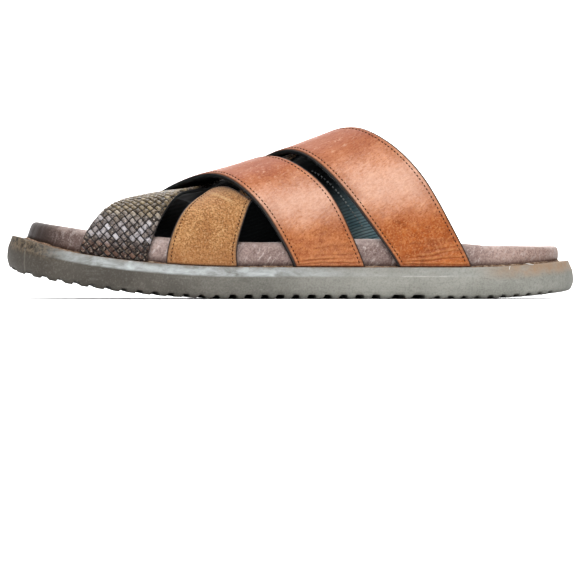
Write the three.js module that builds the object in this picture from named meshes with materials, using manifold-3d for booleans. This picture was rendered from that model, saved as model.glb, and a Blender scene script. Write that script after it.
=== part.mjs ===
// Criss-cross slide sandal, right foot, toe towards -X and inner side towards -Y, in millimetres.
import * as THREE from 'three';
import { mergeVertices } from 'three/addons/utils/BufferGeometryUtils.js';
import Module from 'manifold-3d';

const wasm = await Module();
wasm.setup();

// Outline of the outsole: half widths either side of the long axis at each station.
const HEEL_END = { x: 147.5, y: 0 };
const TOE_END = { x: -146, y: -5 };
const STATIONS = [
  { x: 137.5, inner: -22, outer: 22 },
  { x: 122.5, inner: -33, outer: 33 },
  { x: 102.5, inner: -37, outer: 38 },
  { x: 67.5, inner: -37, outer: 39 },
  { x: 37.5, inner: -36, outer: 41 },
  { x: 7.5, inner: -39, outer: 46 },
  { x: -22.5, inner: -46, outer: 51 },
  { x: -52.5, inner: -51, outer: 53.5 },
  { x: -77.5, inner: -52, outer: 52 },
  { x: -102.5, inner: -49.5, outer: 47 },
  { x: -122.5, inner: -43.5, outer: 38 },
  { x: -137, inner: -30, outer: 22 },
];

// The slab bends up at both ends and grows thicker at the toe.
const SOLE_THICKNESS = 15.8;
const TOE_THICKER = { most: 2.1, from: 100, to: 142 };
const TOE_BEND = { start: 22, radius: 500 };
const HEEL_BEND = { start: 84, radius: 430 };

// Side of the outsole from tread to top: distance in from the outline and height above the tread.
const SOLE_SIDE = [
  { inset: 3.2, rise: 0 },
  { inset: 0.9, rise: 2.2 },
  { inset: 0, rise: 5 },
  { inset: 0.8, rise: 11 },
  { inset: 2.6, rise: SOLE_THICKNESS },
];
const RING_POINTS = { outsole: 104, footbed: 78, strapFoot: 208 };

// Tread: slanted grooves run from each edge to a rib along the middle.
const TREAD_RIB_HALF = 5;
const TREAD_SLANT = 0.22;
const GROOVE_TAPER = 0.7;
const GROOVE_REACH = 62;
const GROOVE_MOUTH = 1;
const GROOVE_FACES = [
  [0, 1, 3, 2],
  [4, 6, 7, 5],
  [0, 4, 5, 1],
  [2, 3, 7, 6],
  [1, 5, 7, 3],
  [0, 2, 6, 4],
];
const TREAD = [
  { from: -131, to: -32, pitch: 7.6, width: 3.6, depth: 1.9 },
  { from: -24, to: 50, pitch: 8.1, width: 4.4, depth: 2.4 },
  { from: 60, to: 70, pitch: 9.7, width: 6.6, depth: 2.4 },
  { from: 79, to: 139, pitch: 6.6, width: 3.2, depth: 1.7 },
];

// Footbed: a cup with a rolled rim, set in from the outsole's edge to leave a ledge.
const SEAT_GAP = 0.3;
const LEDGE = 8.2;
const TOE_LEDGE = { most: 1.6, from: 100, to: 140 };
const TOE_LEAN = { most: 2.6, from: 112, to: 138 };
const CUP_WIDTH = 14;
const CUP_FLOOR = 4.6;
const CUP_SLOPE = { inset: 8.5, share: 0.4 };
const RIM_ROLL = [
  { inset: 0, drop: 2.6 },
  { inset: 0.8, drop: 0.8 },
  { inset: 2.6, drop: 0 },
  { inset: 4.6, drop: 0.6 },
];
const RIM = [
  { x: -134, inner: 10.2, outer: 10.2 },
  { x: -100, inner: 12.2, outer: 11 },
  { x: -61, inner: 13, outer: 11 },
  { x: -15, inner: 12.4, outer: 11 },
  { x: 40, inner: 14.5, outer: 11 },
  { x: 84, inner: 12.5, outer: 11 },
  { x: 100, inner: 10.6, outer: 10.2 },
  { x: 137, inner: 8.6, outer: 8.6 },
];
const INSOLE_THICKNESS = 1.6;
const INSOLE_MARGIN = 1.2;
const INSOLE_ROUND = { inset: 1, share: 0.6 };
const SOFT_ENDS = { slope: 2, cup: 6, insole: 14 };

// Form that the straps follow: instep height along the foot and fullness of its sections.
const INSTEP = { height: 72.4, slope: 0.357, curve: 0.00091 };
const CREST_Y = 2;
const FULLNESS = { inner: 3.2, outer: 2.8 };
const EVEN_SPACING = 1.35;
const STRAP_CLEARANCE = 1;
const NORMAL_STEP = { x: 0.5, t: 0.002 };

// Straps: place along the foot of both edges at the inner base, inner shoulder, crest and outer base,
// and how far the rear edge bows towards the heel on the inner side.
const LEATHER = 3;
const WOVEN_BASE = 2.8;
const STRIP_HEIGHT = 0.6;
const STRIP_STEP = 3.4;
const WOVEN_LENGTH = 190;
const SHOULDER = 0.25;
const CREST = 0.5;
const BOW_END = 0.3;
const LIFT = { most: 2.5, from: 0.03, to: 0.16 };
const STRAP_SEGMENTS = 26;
const STRAP_COLUMNS = 4;
const STRAPS = [
  {
    name: 'woven',
    front: [-102.5, -92, -72, -31],
    rear: [-70, -58.6, -39, 2],
    bow: 0,
    lift: 0,
    wall: WOVEN_BASE,
  },
  {
    name: 'suede',
    front: [-60, -47, -20, 18],
    rear: [-26.5, -16, 15, 54],
    bow: 1.8,
    lift: 0,
    wall: LEATHER,
  },
  {
    name: 'front',
    front: [2.6, -26.6, -57.6, -100],
    rear: [37, 5, -28, -70],
    bow: 1.8,
    lift: 1,
    wall: LEATHER,
  },
  {
    name: 'rear',
    front: [55, 14.4, -13, -66],
    rear: [90, 48.4, 15.2, -34],
    bow: 1.6,
    lift: 1,
    wall: LEATHER,
  },
];

const FINISH = {
  outsole: { color: 0x8c877d, roughness: 0.8, metalness: 0 },
  footbed: { color: 0x7d5f58, roughness: 0.6, metalness: 0 },
  insole: { color: 0x3a302c, roughness: 0.6, metalness: 0 },
  upper: { color: 0xb4703f, roughness: 0.45, metalness: 0 },
};

const clamp = THREE.MathUtils.clamp;
const smooth = (a, b, v) => THREE.MathUtils.smoothstep((v - a) / (b - a), 0, 1);

function tableAt(rows, x, column) {
  const sorted = [...rows].sort((a, b) => a.x - b.x);
  const at = clamp(x, sorted[0].x, sorted[sorted.length - 1].x);
  const next = Math.max(1, sorted.findIndex((row) => row.x >= at));
  const a = sorted[next - 1];
  const b = sorted[next];
  return THREE.MathUtils.lerp(a[column], b[column], smooth(a.x, b.x, at));
}

function bend(distance, { start, radius }) {
  const past = Math.max(0, distance - start);
  return radius - Math.sqrt(radius * radius - past * past);
}

const toeShare = ({ most, from, to }, x) => most * smooth(from, to, -x);
const treadHeight = (x) => bend(-x, TOE_BEND) + bend(x, HEEL_BEND);
const soleThickness = (x) => SOLE_THICKNESS + toeShare(TOE_THICKER, x);
const soleTop = (x) => treadHeight(x) + soleThickness(x);

// Closed outline that starts at the heel and runs along the inner side to the toe and back.
const OUTLINE = new THREE.CatmullRomCurve3(
  [
    new THREE.Vector3(HEEL_END.x, HEEL_END.y, 0),
    ...STATIONS.map((row) => new THREE.Vector3(row.x, row.inner, 0)),
    new THREE.Vector3(TOE_END.x, TOE_END.y, 0),
    ...[...STATIONS].reverse().map((row) => new THREE.Vector3(row.x, row.outer, 0)),
  ],
  true,
);

function outlineRing(count, insetAt) {
  const ring = [];
  for (let i = 0; i < count; i += 1) {
    const point = OUTLINE.getPoint(i / count);
    const along = OUTLINE.getTangent(i / count);
    const inset = insetAt(point.x, point.y);
    ring.push(new THREE.Vector2(point.x + along.y * inset, point.y - along.x * inset));
  }
  return ring;
}

// Ring with rounder ends: each pass draws every point half way to the middle of its two neighbours.
function softened(ring, passes) {
  let points = ring;
  for (let pass = 0; pass < passes; pass += 1) {
    const last = points;
    points = last.map((point, i) => {
      const before = last[(i + last.length - 1) % last.length];
      const after = last[(i + 1) % last.length];
      return before.clone().lerp(after, 0.5).lerp(point, 0.5);
    });
  }
  return points;
}

function meshOf(points, triangles) {
  const geometry = new THREE.BufferGeometry();
  geometry.setAttribute('position', new THREE.Float32BufferAttribute(points.flat(), 3));
  geometry.setIndex(triangles);
  return geometry;
}

// Closed body through rings of the same count, flat across between both sides at its two ends.
function ringBody(count, levels) {
  const points = [];
  const triangles = [];
  levels.forEach(({ inset, height, passes = 0 }) => {
    softened(outlineRing(count, inset), passes).forEach((p, i) => {
      const side = i < count / 2 ? 'inner' : 'outer';
      points.push([p.x, p.y, height(p.x, side)]);
    });
  });
  for (let level = 0; level + 1 < levels.length; level += 1) {
    for (let i = 0; i < count; i += 1) {
      const a = level * count + i;
      const b = level * count + ((i + 1) % count);
      triangles.push(a, a + count, b, b, a + count, b + count);
    }
  }
  const top = (levels.length - 1) * count;
  for (let i = 0; i < count / 2; i += 1) {
    const back = (count - i) % count;
    const nextBack = count - i - 1;
    if (i > 0) {
      triangles.push(i, i + 1, back);
      triangles.push(top + i, top + back, top + i + 1);
    }
    if (nextBack > i + 1) {
      triangles.push(i + 1, nextBack, back);
      triangles.push(top + i + 1, top + back, top + nextBack);
    }
  }
  return meshOf(points, triangles);
}

function solidOf(geometry) {
  const bare = new THREE.BufferGeometry();
  bare.setAttribute('position', geometry.getAttribute('position'));
  bare.setIndex(geometry.getIndex());
  const welded = mergeVertices(bare, 1e-4);
  const mesh = new wasm.Mesh({
    numProp: 3,
    vertProperties: new Float32Array(welded.getAttribute('position').array),
    triVerts: new Uint32Array(welded.getIndex().array),
  });
  return new wasm.Manifold(mesh);
}

function geometryOf(solid) {
  const mesh = solid.getMesh();
  const geometry = new THREE.BufferGeometry();
  geometry.setAttribute('position', new THREE.BufferAttribute(new Float32Array(mesh.vertProperties), 3));
  geometry.setIndex([...mesh.triVerts]);
  return geometry;
}

// Groove from the rib out past the edge on one side, narrower at its bottom than at the tread.
function groove(x, side, { width, depth }) {
  const points = [];
  [TREAD_RIB_HALF, GROOVE_REACH].forEach((reach) => {
    const middle = x + (reach - GROOVE_REACH) * TREAD_SLANT;
    [-1, 1].forEach((edge) => {
      const open = middle + (edge * width) / 2;
      const deep = middle + (edge * width * GROOVE_TAPER) / 2;
      points.push([open, side * reach, treadHeight(open) - GROOVE_MOUTH]);
      points.push([deep, side * reach, treadHeight(deep) + depth]);
    });
  });
  const triangles = GROOVE_FACES.flatMap((face) => {
    const [a, b, c, d] = side < 0 ? face : [...face].reverse();
    return [a, b, c, a, c, d];
  });
  return meshOf(points, triangles);
}

function outsole() {
  const levels = SOLE_SIDE.map(({ inset, rise }) => ({
    inset: () => inset,
    height: (x) => treadHeight(x) + (rise / SOLE_THICKNESS) * soleThickness(x),
  }));
  let solid = solidOf(ringBody(RING_POINTS.outsole, levels));
  TREAD.forEach((zone) => {
    for (let x = zone.from; x <= zone.to; x += zone.pitch) {
      solid = solid.subtract(solidOf(groove(x, -1, zone)));
      solid = solid.subtract(solidOf(groove(x, 1, zone)));
    }
  });
  return geometryOf(solid);
}

const footbedInset = (x) => LEDGE + toeShare(TOE_LEDGE, x);
const wallInset = (more) => (x) => footbedInset(x) + toeShare(TOE_LEAN, x) + more;
const rimTop = (x, side) => soleTop(x) + tableAt(RIM, x, side);
const cupFloor = (x) => soleTop(x) + CUP_FLOOR;
const cupSlope = (x, side) => THREE.MathUtils.lerp(cupFloor(x), rimTop(x, side), CUP_SLOPE.share);

function footbed() {
  const roll = RIM_ROLL.map(({ inset, drop }) => ({
    inset: wallInset(inset),
    height: (x, side) => rimTop(x, side) - drop,
  }));
  return ringBody(RING_POINTS.footbed, [
    { inset: footbedInset, height: (x) => soleTop(x) + SEAT_GAP },
    ...roll,
    { inset: wallInset(CUP_SLOPE.inset), height: cupSlope, passes: SOFT_ENDS.slope },
    { inset: wallInset(CUP_WIDTH), height: cupFloor, passes: SOFT_ENDS.cup },
  ]);
}

function insole() {
  const edge = CUP_WIDTH + INSOLE_MARGIN;
  const rounded = INSOLE_THICKNESS * INSOLE_ROUND.share;
  const seat = (x) => cupFloor(x) + SEAT_GAP;
  const passes = SOFT_ENDS.insole;
  return ringBody(RING_POINTS.footbed, [
    { inset: wallInset(edge), height: seat, passes },
    { inset: wallInset(edge), height: (x) => seat(x) + rounded, passes },
    { inset: wallInset(edge + INSOLE_ROUND.inset), height: (x) => seat(x) + INSOLE_THICKNESS, passes },
  ]);
}

// Place across the foot of the footbed's wall, on one side.
const FOOTBED_RING = outlineRing(RING_POINTS.strapFoot, footbedInset);
function footbedSide(x, side) {
  const half = FOOTBED_RING.length / 2;
  for (let i = 0; i < half; i += 1) {
    const first = side < 0 ? i : i + half;
    const a = FOOTBED_RING[first];
    const b = FOOTBED_RING[(first + 1) % FOOTBED_RING.length];
    if ((a.x - x) * (b.x - x) <= 0 && a.x !== b.x) {
      return THREE.MathUtils.lerp(a.y, b.y, (x - a.x) / (b.x - a.x));
    }
  }
  return 0;
}

// Point of the foot's form: t runs from the inner base (0) over the crest (0.5) to the outer base (1).
function formPoint(x, t) {
  const inner = t <= CREST;
  const run = clamp(inner ? t / CREST : (1 - t) / (1 - CREST), 0, 1);
  const even = run ** EVEN_SPACING / (run ** EVEN_SPACING + (1 - run) ** EVEN_SPACING);
  const angle = (even * Math.PI) / 2;
  const power = 2 / (inner ? FULLNESS.inner : FULLNESS.outer);
  const wall = inner ? footbedSide(x, -1) - STRAP_CLEARANCE : footbedSide(x, 1) + STRAP_CLEARANCE;
  const base = soleTop(x) + SEAT_GAP;
  const crest = INSTEP.height + INSTEP.slope * x + INSTEP.curve * x * x;
  return new THREE.Vector3(
    x,
    CREST_Y + (wall - CREST_Y) * Math.max(0, Math.cos(angle)) ** power,
    base + (crest - base) * Math.sin(angle) ** power,
  );
}

function formNormal(x, t) {
  const { x: aside, t: step } = NORMAL_STEP;
  const along = formPoint(x + aside, t).sub(formPoint(x - aside, t));
  const around = formPoint(x, Math.min(1, t + step)).sub(formPoint(x, Math.max(0, t - step)));
  return along.cross(around).normalize();
}

// Smooth line through the four places of a strap's edge.
function edgeAt(places, t) {
  const at = [0, SHOULDER, CREST, 1];
  let x = 0;
  places.forEach((place, i) => {
    const others = at.filter((_, j) => j !== i);
    x += others.reduce((product, other) => (product * (t - other)) / (at[i] - other), place);
  });
  return x;
}

function rearEdge(strap, t) {
  const share = clamp(t / BOW_END, 0, 1);
  return edgeAt(strap.rear, t) + strap.bow * Math.sin(Math.PI * share) ** 2;
}

function strapLift(t, share) {
  const { most, from, to } = LIFT;
  return share * most * smooth(from, to, t) * smooth(from, to, 1 - t);
}

const halved = (a, b, c, d, flip) => (flip ? [a, b, c, a, c, d] : [a, b, d, b, c, d]);

// Wall of one strap; raise gives the extra height of its face at each grid point.
function strapWall(strap, segments, columns, raise) {
  const points = [];
  const triangles = [];
  const rowSize = columns + 1;
  for (let i = 0; i <= segments; i += 1) {
    const t = i / segments;
    for (let j = 0; j <= columns; j += 1) {
      const x = THREE.MathUtils.lerp(edgeAt(strap.front, t), rearEdge(strap, t), j / columns);
      const at = formPoint(x, t);
      const normal = formNormal(x, t);
      if (i === 0 || i === segments) {
        normal.setZ(0).normalize();
      }
      const inside = strapLift(t, strap.lift);
      const outside = inside + strap.wall + raise(i, j);
      points.push(at.clone().addScaledVector(normal, inside).toArray());
      points.push(at.clone().addScaledVector(normal, outside).toArray());
    }
  }
  const at = (i, j, face) => 2 * (i * rowSize + j) + face;
  for (let i = 0; i < segments; i += 1) {
    for (let j = 0; j < columns; j += 1) {
      const flip = (i + j) % 2 === 0;
      const a = at(i, j, 1);
      const b = at(i, j + 1, 1);
      const c = at(i + 1, j + 1, 1);
      const d = at(i + 1, j, 1);
      triangles.push(...halved(a, b, c, d, flip));
      triangles.push(...halved(d - 1, c - 1, b - 1, a - 1, !flip));
    }
    const f = at(i, 0, 0);
    const g = at(i + 1, 0, 0);
    triangles.push(f, f + 1, g + 1, f, g + 1, g);
    const r = at(i, columns, 0);
    const s = at(i + 1, columns, 0);
    triangles.push(r, s + 1, r + 1, r, s, s + 1);
  }
  for (let j = 0; j < columns; j += 1) {
    const n = at(0, j, 0);
    triangles.push(n, n + 2, n + 3, n, n + 3, n + 1);
    const e = at(segments, j, 0);
    triangles.push(e, e + 3, e + 2, e, e + 1, e + 3);
  }
  return meshOf(points, triangles);
}

// Strips of the weave: every second point of the grid is the raised middle of a strip.
function wovenWall(strap) {
  const segments = 2 * Math.round(WOVEN_LENGTH / STRIP_STEP / 2);
  const columns = 2 * Math.round((strap.rear[0] - strap.front[0]) / STRIP_STEP / 2);
  return strapWall(strap, segments, columns, (i, j) => ((i + j) % 2 === 0 ? 0 : STRIP_HEIGHT));
}

function upper() {
  const walls = STRAPS.map((strap) =>
    strap.name === 'woven' ? wovenWall(strap) : strapWall(strap, STRAP_SEGMENTS, STRAP_COLUMNS, () => 0),
  );
  return geometryOf(walls.map(solidOf).reduce((joined, wall) => joined.add(wall)));
}

const sandal = new THREE.Group();
sandal.name = 'slide_sandal';
const PIECES = { outsole, footbed, insole, upper };
Object.entries(PIECES).forEach(([name, make]) => {
  const material = new THREE.MeshStandardMaterial(FINISH[name]);
  const mesh = new THREE.Mesh(make(), material);
  mesh.name = name;
  sandal.add(mesh);
});

// Centre the outline over the origin.
const bounds = new THREE.Box3().setFromObject(sandal);
const middle = bounds.getCenter(new THREE.Vector3());
sandal.children.forEach((mesh) => mesh.geometry.translate(-middle.x, -middle.y, -bounds.min.z));

export default sandal;
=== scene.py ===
"""Looks of a criss-cross slide sandal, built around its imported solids.

Sizes are millimetres in the sandal's own frame: toe towards -X, inner side towards -Y, floor at Z 0.
"""

import math
from types import SimpleNamespace as Sizes

import bpy
import numpy as np
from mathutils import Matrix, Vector


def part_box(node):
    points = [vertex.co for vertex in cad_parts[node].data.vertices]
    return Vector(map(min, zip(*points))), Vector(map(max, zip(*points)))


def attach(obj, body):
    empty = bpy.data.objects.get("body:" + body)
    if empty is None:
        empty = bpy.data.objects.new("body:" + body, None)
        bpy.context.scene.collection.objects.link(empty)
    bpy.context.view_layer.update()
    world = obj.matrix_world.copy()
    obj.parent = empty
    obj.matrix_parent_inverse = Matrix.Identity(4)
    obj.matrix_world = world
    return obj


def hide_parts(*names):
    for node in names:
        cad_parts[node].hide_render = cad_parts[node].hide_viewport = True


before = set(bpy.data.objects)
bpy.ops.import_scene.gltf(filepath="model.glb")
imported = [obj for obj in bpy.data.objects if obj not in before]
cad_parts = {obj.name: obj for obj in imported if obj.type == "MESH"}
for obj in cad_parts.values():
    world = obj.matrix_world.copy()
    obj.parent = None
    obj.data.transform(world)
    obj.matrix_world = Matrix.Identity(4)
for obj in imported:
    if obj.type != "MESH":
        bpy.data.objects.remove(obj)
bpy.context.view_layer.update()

MM = 0.001
METRE = 1000


def table(columns, rows):
    """Rows with named columns."""
    return [Sizes(**dict(zip(columns.split(), row))) for row in rows]


# Outline of the outsole, as in the solids: places of its inner and outer edge along the foot.
HEEL_END = (147.5, 0)
TOE_END = (-146, -5)
STATIONS = table("x inner outer", [
    (137.5, -22, 22),
    (122.5, -33, 33),
    (102.5, -37, 38),
    (67.5, -37, 39),
    (37.5, -36, 41),
    (7.5, -39, 46),
    (-22.5, -46, 51),
    (-52.5, -51, 53.5),
    (-77.5, -52, 52),
    (-102.5, -49.5, 47),
    (-122.5, -43.5, 38),
    (-137, -30, 22),
])
OUTLINE_SAMPLES = 2000
TANGENT_STEP = 1e-4

# Outsole: bent up at both ends, thicker at the toe, with a bevel along its upper edge.
SOLE_POINTS = 960
SOLE_THICKNESS = 15.8
TOE_BEND = Sizes(start=22, radius=500)
HEEL_BEND = Sizes(start=84, radius=430)
TOE_THICKER = Sizes(most=2.1, start=100, end=142)
SOLE_LUMPS = Sizes(height=0.12, size=11, turn=3.0)
SOLE_SIDE = table("inset rise", [
    (3.4, 0.0),
    (2.2, 0.25),
    (1.35, 1.0),
    (0.8, 2.2),
    (0.25, 3.6),
    (0.0, 5.2),
    (0.1, 7.2),
    (0.4, 9.4),
    (0.75, 10.9),
    (1.0, 11.5),
    (1.6, 12.9),
    (2.2, 14.5),
    (2.5, 15.4),
    (3.0, 15.75),
    (4.0, 15.8),
])

# Tread: slanted grooves from each edge to a rib along the middle, with thin lengthwise cuts.
TREAD_COLUMNS = 140
TREAD_RIB_HALF = 5
RIB_SLOPE = (-0.4, 0.6)
TREAD_SLANT = 0.22
SLANT_WIDTHS = (12, 40)
LINE_TURN = 0.2
GROOVE_REACH = 62
GROOVE_SLOPE = 0.55
NOTCH_FADE = 0.04
TREAD = table("start end pitch width depth", [
    (-131, -32, 7.6, 3.6, 1.9),
    (-24, 50, 8.1, 4.4, 2.4),
    (60, 70, 9.7, 6.6, 2.4),
    (79, 139, 6.6, 3.2, 1.7),
])
LENGTH_CUTS = Sizes(places=(9.0, 21.0, 33.0), width=1.5, depth=1.2, slope=0.3)
CUT_WAVE = Sizes(height=1.2, length=9.0)

# Footbed: a cup with a rolled rim, set in from the outsole's edge.
FOOTBED_POINTS = 480
SEAT_GAP = 0.3
LEDGE = 8.2
TOE_LEDGE = Sizes(most=1.6, start=100, end=140)
TOE_LEAN = Sizes(most=2.6, start=112, end=138)
CUP_WIDTH = 14
CUP_FLOOR = 4.6
RIM_CROWN = 3.3
RIM_BLEND = 4
RIM = table("x inner outer", [
    (-134, 10.2, 10.2),
    (-100, 12.2, 11),
    (-61, 13, 11),
    (-15, 12.4, 11),
    (40, 14.5, 11),
    (84, 12.5, 11),
    (100, 10.6, 10.2),
    (137, 8.6, 8.6),
])

# Section of the footbed from its foot over the rim: shares of the rim's height and of the toe's lean.
FOOTBED_SIDE = table("share inset lean", [
    (0.0, 0.0, 0.0),
    (0.25, -0.1, 0.3),
    (0.5, -0.15, 0.6),
    (0.68, 0.0, 0.8),
    (0.8, 0.25, 0.92),
    (0.89, 0.75, 1.0),
    (0.955, 1.5, 1.0),
    (0.99, 2.4, 1.0),
    (1.0, 3.2, 1.0),
    (0.985, 4.3, 1.0),
    (0.93, 5.5, 1.0),
    (0.84, 6.8, 1.0),
    (0.73, 8.1, 1.0),
    (0.63, 9.4, 1.0),
    (0.54, 10.9, 1.0),
    (0.47, 12.4, 1.0),
    (0.43, 14.0, 1.0),
])
PUCKER_FROM = 0.2
PUCKERS = table("depth size turn seed", [(0.16, 3.0, 5, 5), (0.2, 13.0, 3, 6)])

# How much the ends of the cup and of the insole are rounded, as a share of the ring's length.
SOFT_ENDS = Sizes(cup=0.022, insole=0.034)

# Ragged bead of cement and dirt around the foot of the footbed: distance out from its wall, height.
CEMENT_POINTS = 960
CEMENT_BEAD = table("out rise", [(1.0, 0.02), (0.75, 0.4), (0.2, 0.85), (-0.4, 0.9), (-0.4, 0.02)])
RAGGED = Sizes(mean=0.75, wide=0.4, wide_size=9.0, fine=0.3, fine_size=2.2, turn=4, limits=(0.25, 1.4))

# Insole with a pressed line near its edge: distance in from the edge, height above the underside.
INSOLE_POINTS = 360
INSOLE_MARGIN = 1.2
INSOLE_SIDE = table("inset rise", [
    (0.0, 0.0),
    (0.05, 0.5),
    (0.2, 1.1),
    (0.7, 1.5),
    (1.6, 1.6),
    (3.0, 1.55),
    (3.5, 1.3),
    (4.0, 1.55),
    (6.0, 1.6),
])

# Form that the straps follow, as in the solids.
INSTEP = Sizes(height=72.4, slope=0.357, curve=0.00091)
CREST_Y = 2
FULLNESS = Sizes(inner=3.2, outer=2.8)
EVEN_SPACING = 1.35
STRAP_CLEARANCE = 1
SHOULDER = 0.25
NORMAL_STEP = Sizes(x=0.5, t=0.002)
UPRIGHT_ENDS = 0.02

# How far a strap lies above the form, and over which shares of its length it comes away from both ends.
FLAT = Sizes(most=0, near=(0.03, 0.16), far=(0.03, 0.16), pressed=0)
SUNK = Sizes(most=-3.6, near=(0.14, 0.3), far=(0.52, 0.66), pressed=0)
LIFT = Sizes(most=3.5, near=(0.03, 0.16), far=(0.03, 0.16), pressed=0.8)
PRESSED_FROM = (0.5, 0.58)

# The suede strap folds over below the strap that crosses it: top of the fold, its place and roundness.
FOLD = Sizes(top=57.6, x=-36, round=0.035, soft=1.2, ends=(-14, -24), near=(0.5, 0.44))

# The woven strap's rear edge sags under the straps that cross it.
SAG = Sizes(across=(0.2, 0.95), near=(0.26, 0.42), far=(0.44, 0.54))

# Straps: places of both edges at inner base, inner shoulder, crest and outer base, then bow, form and mesh.
BOW_END = 0.3
STRAPS = {
    "woven": Sizes(
        front=(-102.5, -92, -72, -31), rear=(-70, -58.6, -39, 2), bow=0, lift=FLAT, sag=2.6, folded=False,
        wall=2.1, past_front=0.2, past_rear=0.4, paler=0, rows=620, columns=88,
    ),
    "suede": Sizes(
        front=(-60, -47, -20, 18), rear=(-26.5, -16, 15, 54), bow=1.8, lift=SUNK, sag=0, folded=True,
        wall=2.8, past_front=0.4, past_rear=0.4, paler=0, rows=220, columns=30, seed=5,
    ),
    "front": Sizes(
        front=(2.6, -26.6, -57.6, -100), rear=(37, 5, -28, -70), bow=1.8, lift=LIFT, sag=0, folded=False,
        wall=2.8, past_front=1.0, past_rear=0.35, paler=1, rows=240, columns=34, seed=5,
    ),
    "rear": Sizes(
        front=(55, 14.4, -13, -66), rear=(90, 48.4, 15.2, -34), bow=1.6, lift=LIFT, sag=0, folded=False,
        wall=2.8, past_front=1.0, past_rear=0.35, paler=0, rows=240, columns=34, seed=4,
    ),
}
LENGTH_SAMPLES = 1200
CREASED_LENGTH = 20
CREASED_ROWS = 70

# Face of a strap: closer points and a rounded corner at both edges, a groove under the stitches, unevenness.
EDGE_STEPS = np.array([0.0, 0.18, 0.45, 0.85, 1.3, 1.9, 2.5, 3.2])
EDGE_ROUND = Sizes(depth=0.55, width=0.85)
SEAM_GROOVE = Sizes(depth=0.22, width=0.5)
UNEVEN = Sizes(height=0.12, size=9.0, from_edge=(2.0, 5.0))

# Lining of a strap: share of the wall at its edges, points across, turned-up edges, unevenness.
LINING = Sizes(share=0.85, columns=14, turn=0.35, turn_width=0.8, uneven=0.1, uneven_size=6.0)

# Strips of the woven strap: spacing, height, share of the spacing, and roundness across and along.
STRIP = Sizes(pitch=2.85, height=1.0, width=0.84, hem=0.8)
STRIP_CROWN = Sizes(power=5, root=0.6)
STRIP_ARCH = Sizes(depth=0.4, power=5)
STRIP_TONE = Sizes(pale_from=0.4, range=0.6)
COVER_SOFT = 3

# Places along the foot and shares of a section at which the length of the form is measured for the weave.
ARC_PLACES = np.linspace(-110, 100, 71)
ARC_SHARES = np.linspace(0, 1, 401)

# Creases: height over the outsole at the strap's front edge, depth, half width, slope, part of the width.
CREASES = table("strap rise depth width tilt start end", [
    ("front", 1.2, 0.45, 0.4, 0.03, 0, 40),
    ("front", 2.8, 0.5, 0.45, 0.06, 3, 38),
    ("front", 5.0, 0.42, 0.5, 0.07, 8, 40),
    ("front", 9.0, 0.3, 0.9, 0.05, 4, 34),
    ("rear", 0.9, 0.45, 0.4, 0.02, 0, 38),
    ("rear", 1.8, 0.5, 0.45, 0.11, 1, 34),
    ("rear", 3.4, 0.5, 0.5, 0.17, 6, 36),
    ("rear", 7.0, 0.36, 0.6, 0.12, 12, 36),
    ("rear", 11.5, 0.3, 0.9, 0.06, 6, 34),
    ("suede", 8.0, 0.2, 1.6, 0.03, 0, 36),
    ("suede", 45.5, -0.5, 1.1, -0.42, 19, 33),
])
CREASE_ENDS = 4
CREASE_WAVE = Sizes(height=0.6, size=5.0)
CREASE_FADE = Sizes(least=0.4, most=1.0, size=9.0, turn=3)
RIDGE = Sizes(share=0.6, shift=1.2, width=1.6)

# Stitching: distance from the strap's edge, spacing, length and half thickness of one stitch.
STITCHES = {
    "suede": Sizes(margin=1.9, spacing=1.9, length=1.1, radius=0.22),
    "front": Sizes(margin=2.0, spacing=2.1, length=1.25, radius=0.23),
    "rear": Sizes(margin=2.0, spacing=2.1, length=1.25, radius=0.23),
}
LINING_SEAM = Sizes(t=(0.7, 0.905), x=(11, 40), spacing=2.2, length=1.3, radius=0.42)
STITCH_SHAPE = Sizes(sides=7, rings=5, blunt=0.6)
STITCH_ENDS = (0.004, 0.996)
STITCH_SAMPLES = 1500
SEAM_SAMPLES = 400
STITCH_FLAT = 1.25
STITCH_SHIFT = 0.12
STITCH_AHEAD = 0.5
STITCH_SUNK = 0.1
SEAM_SUNK = 0.05

# Thread ends at the heel: place along the foot, height over the tread, inset, turn from level, size.
LOOSE_THREADS = table("x rise inset turn length radius", [
    (109, 14.8, 2.1, 1.4, 2.2, 0.18),
    (119.5, 15.9, 2.6, -0.15, 4.0, 0.2),
])

# Pale scratch along the inner side of the outsole, and place of the mould line on its toe.
SCRATCH_HEIGHT = 11.2
MOULD_LINE = -132

# How much brighter than its own colour the studio light makes a surface look.
LIGHT_LEVEL = 1.38

# Camera of the photo, level and square to the sandal's side.
CAMERA = Sizes(distance=700, height=4.5, lens=83.2, sensor=36, near=2)

# Studio, in metres: floor that sweeps up behind the sandal, even light from all sides, round lamps.
FLOOR = Sizes(half=6.0, front=-6.0, back=3.0, radius=1.2, top=4.0, steps=12)
WORLD_LIGHT = 0.42
LIGHTS = table("name place target size power", [
    ("key_light", (-0.1, -0.85, 0.75), (0, 0, 0.04), 0.5, 10),
    ("top_light", (-0.1, 0.1, 1.3), (0, 0, 0.03), 0.9, 9),
    ("rear_fill", (0.7, 0.9, 0.7), (0, 0, 0.03), 0.9, 3),
    ("backdrop_light", (0, 1.2, 2.6), (0, 4.2, 0.9), 2.5, 300),
])

# Sockets of Blender's colour mix, material slots of a strap, radians of Blender's waves over one unit.
MIX_A, MIX_B, MIX_RESULT = 6, 7, 2
FACE, EDGE, LINED = 0, 1, 2
WAVE_TURN = 20

# Factors of the repeatable noise.
HASH = Sizes(i=127.1, j=311.7, seed=74.7, spread=43758.5453)


# Sums

def smooth(a, b, v):
    """Soft step from 0 at a to 1 at b."""
    s = np.clip((np.asarray(v, float) - a) / (b - a), 0, 1)
    return s * s * (3 - 2 * s)


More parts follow.
